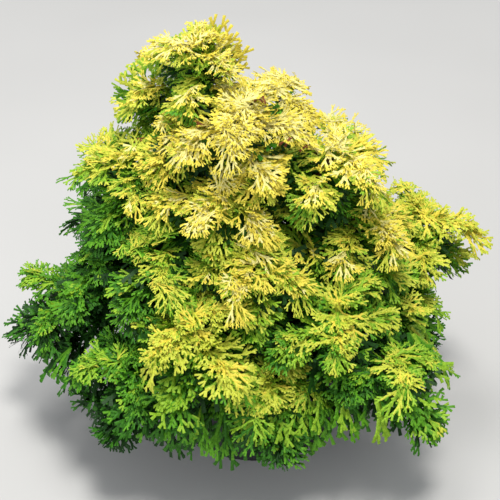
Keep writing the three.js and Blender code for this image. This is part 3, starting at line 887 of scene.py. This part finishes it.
class Foliage:
    """The crown's fans, sorted by colour, with the CAD nodes that each colour stands for."""

    def __init__(self):
        self.fans = {name: [Fan(SEEDS.fan + f, style, *KINDS[f // COPIES]) for f in range(COPIES * len(KINDS))]
                     for name, style in STYLES.items()}
        self.coarse = [Fan(SEEDS.coarse + f, STYLES["broad"], *COARSE_KIND, False, False)
                       for f in range(COARSE_FANS)]
        self.heaps = {colour: Heap() for colour in PALETTE}
        self.nodes = {colour: {} for colour in PALETTE}
        self.placed = []

    def pick(self, pad, seed):
        """A fan of the pad's own style."""
        fans = self.fans["fine" if pad.tier in FINE_TIERS else "broad"]
        return fans[int(len(fans) * noise(seed, 11))]

    def add(self, pad, fan, seed, seat, length, droop, tone, free=False):
        """Sets one fan on its seat, shortened to the CAD node's reach unless it is free of that."""
        mirror = 1 if noise(seed, 12) < 0.5 else -1
        for _ in range(SHORTENINGS):
            vertices = seat.place(fan.plain.vertices, length, mirror, droop)
            if free or ((vertices @ REACH_WAYS.T).max(0) < pad.reach).all():
                tone += FAN_VARIETY * spread(seed, 14)
                self.placed.append((pad, fan, seed, seat, (length, mirror, droop), tone))
                break
            length *= SHORTENING
            seat = Seat(seat.root - seat.along * WITHDRAWAL, seat.along, seat.upright)

    def colour(self):
        """Sorts the fans' branches into colours by the light that reaches each of them through all the others, so
        that the colours paint light and shade along with the gold of sunned growth.
        """
        veils = Heap()
        for _, fan, _, seat, shape, _ in self.placed:
            veils.add(seat.place(fan.veil, *shape), fan.veil_faces)
        self.tree = BVHTree.FromPolygons(*(np.concatenate(part).tolist() for part in (veils.vertices, veils.faces)))
        rays = sun_rays()
        for pad, fan, seed, seat, shape, tone in self.placed:
            whole, outer_part, low_share = PAINTED_PAD_TONES.get(pad.name, NO_TONE)
            points = seat.place(fan.points, *shape)
            x, y, z = middle = points.mean(0)
            away = middle - CROWN_MIDDLE
            out = math.hypot(x - axis_x(z - SKIRT_LEVEL), y) / pad.rim
            # Painted light on the sunward side and at the top, painted shade at the hanging ends, and the pad's
            # painted tone.
            tone += SHADED + TURNED * (away @ SUN) / np.linalg.norm(away)
            tone += whole + outer_part * clamp(through(out, OUTER_BAND))
            tone += HIGHER * clamp(through(z, HIGH_BAND), LEAST_HIGHER)
            tone -= LOW_PAINTED_SHADE * low_share * clamp(through(z, LOW_BAND))
            upright = Vector(seat.upright)
            lights = np.array([tone + SUNLIT * light_at(self.tree, Vector(p), rays, upright) for p in points])
            branches = range(len(points) // 2)
            lights += BRANCH_VARIETY * np.repeat([spread(seed + SEEDS.branch * b, 18) for b in branches], 2)
            lights = np.minimum(lights, np.interp(z, GOLD_BAND, GOLD_LIMIT))
            if lights.max() < PLAIN_BELOW:
                fan = fan.plain
            vertices = seat.place(fan.vertices, *shape)
            for b, zone, first, last, faces in fan.parts:
                inner, outer = lights[2 * b:2 * b + 2]
                light = {STALK: inner, BRANCHLET: (inner + outer) / 2, TIP: outer, UNDER: outer}[zone]
                colour = COLOURINGS[clamp(int(light * len(COLOURINGS)), 0, len(COLOURINGS) - 1)][zone]
                self.heaps[colour].add(vertices[first:last], faces[:, ::shape[1]])
                self.nodes[colour]["foliage_" + pad.name] = True

    def grow_tuft(self, pad, tuft, seat, spray, layout, free=False):
        longest = spray * TUFT_LENGTH
        for j, (heading, lift, share, tone, back) in enumerate(layout):
            seed = 20 * tuft + j
            vary = drawn(seed, TUFT_VARIETY)
            place = seat.turned(heading + vary.turn, lift + vary.lift, FAN_STEP * j, vary.roll, back * longest)
            length = longest * share * (1 + vary.size)
            droop = FAN_DROOP * (1 + vary.droop) * min(1, 1 + lift / LEAST_DROOP_LIFT)
            self.add(pad, self.pick(pad, seed), seed, place, length, max(droop, LEAST_DROOP), tone, free)

    def grow_pad(self, pad):
        for tuft in tufts_of(pad):
            self.grow_tuft(pad, *tuft)
        if pad.tier != "crest":
            trunk = trunk_point(pad.heart[2])
            core = Seat(trunk + (pad.heart - trunk) * CORE_TUFT, pad.outward, UP)
            self.grow_tuft(pad, 30 * pad.i + 3 * MAIN_SPRAYS + 1, core, pad.spray, HEART_TUFT, True)
        for ring, (count, lift, level, share) in enumerate(INNER_RINGS):
            for j in range(count):
                place = pad.seat.turned(360 * j / count + RING_TURN * ring, lift, level)
                self.add(pad, self.coarse[j % COARSE_FANS], SEEDS.inner + 20 * pad.i + 10 * ring + j, place,
                         share * pad.spray, SPRAY_DROOP, INNER_PAINTED_SHADE)

    def grow_upright(self, pads):
        """Fans that show their flat sides to the front."""
        for j, (name, right, rise, heading, lift, length, tone) in enumerate(UPRIGHT_FANS):
            seat = Seat(pads[name].heart + [right, 0, rise], UP, FRONT)
            seat = seat.turned(heading, lift, UPRIGHT_STAGGER * (1 if j % 2 else -1))
            self.add(pads[name], self.fans["broad"][j], SEEDS.upright + j, seat, length, UPRIGHT_DROOP, tone, True)

    def grow_fringe(self, skirt):
        """Fans that hang all round from under the lowest tier."""
        for row, (inside, below, lift, length) in enumerate(FRINGE):
            for j in range(round(360 / FRINGE_STEP)):
                seed = SEEDS.fringe + 100 * row + j
                vary = drawn(seed, FRINGE_VARIETY)
                outward = level_way(math.radians(FRINGE_STEP * (j + 0.5 * row) + vary.place))
                near = [math.degrees(math.acos(min(pad.outward @ outward, 1))) / FRINGE_BLEND for pad in skirt]
                share = np.exp(-np.array(near) ** 2)
                share /= share.sum()
                reach = sum(s * pad.rim for s, pad in zip(share, skirt))
                level = sum(s * (pad.heart[2] + FRINGE_RISE.get(pad.name, 0)) for s, pad in zip(share, skirt))
                root = outward * (reach - inside) + [axis_x(level - SKIRT_LEVEL), 0, level - below]
                seat = Seat(root, outward, UP).turned(vary.turn, lift + vary.lift, 0, vary.roll)
                pad = skirt[int(share.argmax())]
                whole, outer_part, _ = PAINTED_PAD_TONES.get(pad.name, NO_TONE)
                tone = FRINGE_SHADE - FRINGE_TONE * whole - max(outer_part, 0)
                size = length * (1 + vary.size)
                self.add(pad, self.pick(pad, seed), seed, seat, size, FRINGE_DROOP, tone, True)

    def grow_fillers(self, pads):
        for j, (name, *place) in enumerate(FILLERS):
            pad = pads[name]
            seat = Seat(np.array(place), pad.seat.along, pad.seat.upright)
            self.grow_tuft(pad, SEEDS.filler + j, seat, pad.spray, HEART_TUFT, True)


def make_russet_twigs(tree, pads):
    """The few short twigs that have lost their leaves and show among the fans, set where the camera sees them."""
    camera = bpy.context.scene.camera
    focal = PICTURE * CAMERA_LENS / CAMERA_SENSOR
    heap = Heap()
    for s, (right, down) in enumerate(RUSSET_SPOTS):
        ray = camera.matrix_basis.to_3x3() @ Vector((right - PICTURE / 2, PICTURE / 2 - down, -focal)).normalized()
        hit = tree.ray_cast(camera.location, ray)[0]
        for j in range(RUSSET_TWIGS):
            seed = SEEDS.russet + 10 * s + j
            turn = math.pi * noise(seed, 21)
            way = np.array([math.cos(turn), 0.5 * math.sin(turn), RUSSET_RISE + RISE_VARIETY * spread(seed, 22)])
            scatter = RUSSET_SCATTER * np.array([spread(seed, k) for k in (23, 24, 25)])
            start = np.array(hit - ray * RUSSET_PROUD) + scatter
            t = np.linspace(-0.5, 0.5, RUSSET_RINGS)[:, None]
            line = start + way * RUSSET_LENGTH * t - np.array([0, 0, RUSSET_SAG]) * t * t
            heap.add(*tube(line, np.linspace(*RUSSET_RADII, RUSSET_RINGS), 6, RUSSET_RIDGES, seed))
    piece = heap.make("russet_twigs", named_material("russet_bark"))
    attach(piece, "root")
    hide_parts(*["foliage_" + pad.name for pad in pads if pad.tier in ("high", "upper")])


def make_foliage(pads):
    foliage = Foliage()
    for pad in pads:
        foliage.grow_pad(pad)
    named = {pad.name: pad for pad in pads}
    foliage.grow_upright(named)
    foliage.grow_fillers(named)
    foliage.grow_fringe([pad for pad in pads if pad.tier == "skirt"])
    foliage.colour()
    for colour, heap in foliage.heaps.items():
        material = make_material("leaves_" + colour, *LEAF_LOOK, list(zip(LEAF_STOPS, PALETTE[colour])))
        piece = heap.make(f"foliage_{colour}_sprays_0", material)
        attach(piece, "root")
        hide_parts(*foliage.nodes[colour])
    make_russet_twigs(foliage.tree, pads)


# Wood

TWIG_REACH = 0.42  # of a spray's length
STALK_TOP = 0.006  # of a pad's stalk, above its heart
TWIG_COVER = 0.008  # of foliage over a twig
TRUNK_RIDGES = 0.0007
BOUGH_RIDGES = 0.0003
STALK_RIDGES = 0.0002
STALK_TIP_RADIUS = 0.0013
TWIG_RADII = (0.0008, 0.0005)


def make_wood(pads):
    """The trunk and the boughs with the relief of their bark, in one mesh."""
    heap = Heap()
    heights = np.linspace(TRUNK_FOOT, TRUNK_TOP, 60)
    line = np.array([trunk_point(z) for z in heights])
    heap.add(*tube(line, [trunk_radius(z) for z in heights], 40, TRUNK_RIDGES))
    boughs = [pad for pad in pads if pad.tier not in BOUGHLESS]
    for pad in boughs:
        line = bough_line(pad)
        radii = np.linspace(BOUGH_ROOT_RADIUS, BOUGH_TIP_RADIUS, len(line))
        heap.add(*tube(line, radii, 12, BOUGH_RIDGES, pad.i))
    piece = heap.make("bark", named_material("bark"))
    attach(piece, "root")
    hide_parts("trunk", *["bough_" + pad.name for pad in boughs])


def covered(pad, line):
    """How many of a line's points come before the first one that the pad's fans don't cover."""
    bare = ((line @ REACH_WAYS.T) > pad.reach - TWIG_COVER)[:, REACH_WAYS[:, 2] > 0.5].any(axis=1)
    return int(bare.argmax()) if bare.any() else len(line)


def make_twigs(pads):
    """The stem, stalk and twigs inside each pad that carry its tufts."""
    heap = Heap()
    for pad in pads:
        if pad.tier == "crest":
            start = trunk_point(TRUNK_TOP)
        elif pad.tier in BOUGHLESS:
            start = trunk_point(pad.fork)
        else:
            start = bough_line(pad)[-1]
        line = arch(start, stalk_foot(pad), pad.heart + pad.seat.upright * STALK_TOP, 12)
        line = line[:max(covered(pad, line), 6)]
        radii = np.linspace(BOUGH_TIP_RADIUS, STALK_TIP_RADIUS, len(line))
        heap.add(*tube(line, radii, 8, STALK_RIDGES, pad.i))
        for k, spray, length in spray_seats(pad):
            places = np.linspace(0, TWIG_REACH, 8)
            line = np.array([spray.further(x * length, length, SPRAY_DROOP).root for x in places])
            line = line[:covered(pad, line)]
            if len(line) > 2:
                heap.add(*tube(line, np.linspace(*TWIG_RADII, len(line)), 5))
    piece = heap.make("twigs", named_material("young_bark"))
    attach(piece, "root")
    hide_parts(*["foliage_" + pad.name for pad in pads])


# Pot and soil


def lathe(profile, sides):
    """A closed body turned from (radius, height) points that start and end on the axis."""
    angle = np.arange(sides) * 2 * math.pi / sides
    rings = [np.stack([r * np.cos(angle), r * np.sin(angle), np.full(sides, z)], axis=1) for r, z in profile[1:-1]]
    vertices = np.concatenate(rings + [[(0, 0, profile[0][1])], [(0, 0, profile[-1][1])]])
    return vertices, body_faces(len(rings), sides)


def arc(centre, radius, first, last, steps):
    """Points on an arc of a profile, its angles in degrees."""
    angles = np.radians(np.linspace(first, last, steps))
    return [(centre[0] + radius * math.cos(a), centre[1] + radius * math.sin(a)) for a in angles]


def between(first, last, share):
    return first + (last - first) * share


def make_pot():
    neck = RIM_RADIUS - RIM_STEP - RIM_HOLLOW
    profile = [(r, 0) for r in (0, *FLOOR_RINGS, FOOT_RADIUS - FOOT_ROUND)]
    profile += arc((FOOT_RADIUS - FOOT_ROUND, FOOT_ROUND), FOOT_ROUND, -75, 0, 4)
    profile += [(between(FOOT_RADIUS, neck, z / RIM_FOOT), z)
                for z in np.linspace(POT_FLOOR, RIM_FOOT - FOOT_ROUND, 14)]
    profile += arc((neck + NECK_ROUND, RIM_FOOT - NECK_ROUND), NECK_ROUND, 180, 95, 4)
    profile += arc((RIM_RADIUS - LIP_ROUND, RIM_FOOT + LIP_ROUND), LIP_ROUND, -80, 0, 4)
    profile += arc((RIM_RADIUS - RIM_ROUND, POT_HEIGHT - RIM_ROUND), RIM_ROUND, 0, 90, 6)
    profile += arc((MOUTH_RADIUS + LIP_ROUND, POT_HEIGHT - LIP_ROUND), LIP_ROUND, 90, 180, 5)
    for z in np.linspace(POT_HEIGHT - MOUTH_STEP, POT_FLOOR + FLOOR_STEP, 12):
        share = (z - POT_FLOOR) / (POT_HEIGHT - POT_FLOOR)
        profile.append((between(FLOOR_RADIUS, MOUTH_RADIUS, share), z))
    profile += [(r, POT_FLOOR) for r in (FLOOR_RADIUS - FLOOR_STEP, FLOOR_RINGS[0], 0)]
    vertices, faces = lathe(profile, 128)
    pot = make_object("pot_body", vertices, faces, named_material("pot"))
    drill_holes(pot)
    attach(pot, "root")
    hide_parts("pot")


def drill_holes(pot):
    """Cuts the drain holes through the pot's floor."""
    heap = Heap()
    for k in range(DRAIN_HOLES):
        angle = 2 * math.pi * (k + 0.5) / DRAIN_HOLES
        centre = DRAIN_CIRCLE * level_way(angle)
        low, high = -DRILL_SPARE, POT_FLOOR + DRILL_SPARE
        vertices, faces = lathe([(0, low), (DRAIN_RADIUS, low), (DRAIN_RADIUS, high), (0, high)], 32)
        heap.add(vertices + centre, faces)
    cutter = heap.make("drill", pot.data.materials[0])
    cut = pot.modifiers.new("holes", "BOOLEAN")
    cut.operation = "DIFFERENCE"
    cut.object = cutter
    cut.solver = "EXACT"
    shape = bpy.data.meshes.new_from_object(pot.evaluated_get(bpy.context.evaluated_depsgraph_get()))
    pot.modifiers.clear()
    pot.data = shape
    bpy.data.objects.remove(cutter)


def make_soil():
    """The soil as one closed body with a rough top, and chips of bark strewn on it."""
    foot = POT_FLOOR + CLEARANCE
    edge = SOIL_LEVEL - SOIL_EDGE_DROP

    def wall_at(z):
        return between(FLOOR_RADIUS, MOUTH_RADIUS, (z - POT_FLOOR) / (POT_HEIGHT - LIP_ROUND - POT_FLOOR))

    def level(radius):
        return edge + SOIL_EDGE_DROP * min(1.0, SOIL_SLOPE * (1 - radius / wall_at(edge)))

    outer = wall_at(edge) - SOIL_GAP
    profile = [(0, foot), (wall_at(foot) - SOIL_GAP, foot), (outer, edge - SOIL_SHOULDER)]
    profile += [(r, level(r)) for r in np.linspace(outer, SOIL_MIDDLE, 46)] + [(0, SOIL_LEVEL)]
    vertices, faces = lathe(profile, 150)
    for v in np.nonzero(vertices[:, 2] > edge - SOIL_SHOULDER / 2)[0]:
        place = Vector(vertices[v])
        rough = sum(perlin.noise(place * fine) * height for fine, height in LUMPS)
        vertices[v, 2] = min(vertices[v, 2] + rough - LUMPS_SINK, SOIL_LEVEL)
    soil = make_object("soil_body", vertices, faces, named_material("soil"))
    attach(soil, "root")
    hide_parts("soil")

    random = np.random.default_rng(SEEDS.chips)
    heap = Heap()
    for _ in range(CHIPS):
        radius = (outer - CHIP_INSIDE) * math.sqrt(random.uniform(*CHIP_AREA))
        angle = random.uniform(0, 2 * math.pi)
        vertices, faces = chip(random, random.uniform(*CHIP_SIZE))
        turn = random.uniform(0, 2 * math.pi)
        spin = np.array([[math.cos(turn), -math.sin(turn), 0], [math.sin(turn), math.cos(turn), 0], UP])
        place = [radius * math.cos(angle), radius * math.sin(angle), level(radius) - CHIP_SINK]
        heap.add(vertices @ spin.T + place, faces)
    chips = heap.make("bark_chips", named_material("bark_chips"), False)
    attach(chips, "root")
    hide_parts("soil")


def chip(random, size):
    """One flat, angular chip, made of two uneven rings."""
    sides = CHIP_SIDES
    angle = np.arange(sides) * 2 * math.pi / sides + random.uniform(*CHIP_TURN, sides)
    reach = size * random.uniform(*CHIP_REACH, sides)
    long = random.uniform(*CHIP_LENGTH)
    ring = np.stack([long * reach * np.cos(angle), CHIP_WIDTH * reach * np.sin(angle), np.zeros(sides)], axis=1)
    thick = size * random.uniform(*CHIP_THICKNESS)
    top = ring * CHIP_TOP + [0, 0, thick] + random.uniform(*CHIP_ROUGHNESS, (sides, 3)) * size
    vertices = np.concatenate([ring - [0, 0, thick], top, [[0, 0, -thick]], [[0, 0, CHIP_PEAK * thick]]])
    return vertices, body_faces(2, sides)


# Studio

FLOOR_HALF = 12.0
SKY = (0.93, 0.96, 1.0, 1)
SKY_STRENGTH = 0.47
# Name, place, size in metres, power in watts and colour.
LIGHTS = [
    ("key", (0.15, -0.5, 2.0), 0.5, 24, (1.0, 0.985, 0.95)),
    ("top", (-0.4, 0.5, 2.0), 0.9, 13, (1.0, 0.99, 0.97)),
    ("fill", (-1.2, -1.5, 0.9), 1.2, 8, (0.94, 0.97, 1.0)),
]


def make_floor():
    half = FLOOR_HALF
    corners = [(-half, -half, 0), (half, -half, 0), (half, half, 0), (-half, half, 0)]
    floor = make_object("floor", corners, [(0, 1, 2, 3)], named_material("floor"), False)


def put(name, data, place, way):
    """A camera or light that looks that way from its place."""
    made = bpy.data.objects.new(name, data)
    made.location = place
    made.rotation_euler = way.to_track_quat("-Z", "Y").to_euler()
    bpy.context.scene.collection.objects.link(made)
    return made


def make_camera():
    data = bpy.data.cameras.new("camera")
    data.lens = CAMERA_LENS
    data.sensor_width = CAMERA_SENSOR
    elevation = math.radians(CAMERA_ELEVATION)
    back = Vector((0, -math.cos(elevation), math.sin(elevation)))
    bpy.context.scene.camera = put("camera", data, CAMERA_TARGET + back * CAMERA_DISTANCE, -back)


def make_lights():
    world = bpy.data.worlds.new("studio")
    world.use_nodes = True
    background = world.node_tree.nodes["Background"]
    background.inputs["Color"].default_value = SKY
    background.inputs["Strength"].default_value = SKY_STRENGTH
    bpy.context.scene.world = world
    for name, place, size, power, colour in LIGHTS:
        data = bpy.data.lights.new(name, "AREA")
        data.shape = "DISK"
        data.size = size
        data.energy = power
        data.color = colour
        put(name, data, place, CAMERA_TARGET - Vector(place))
    bpy.context.scene.view_settings.view_transform = "Standard"


make_camera()
make_lights()
make_floor()
pads = lay_out_pads()
for pad in pads:
    pad.reach = reach_of(pad)
make_pot()
make_soil()
make_wood(pads)
make_twigs(pads)
make_foliage(pads)
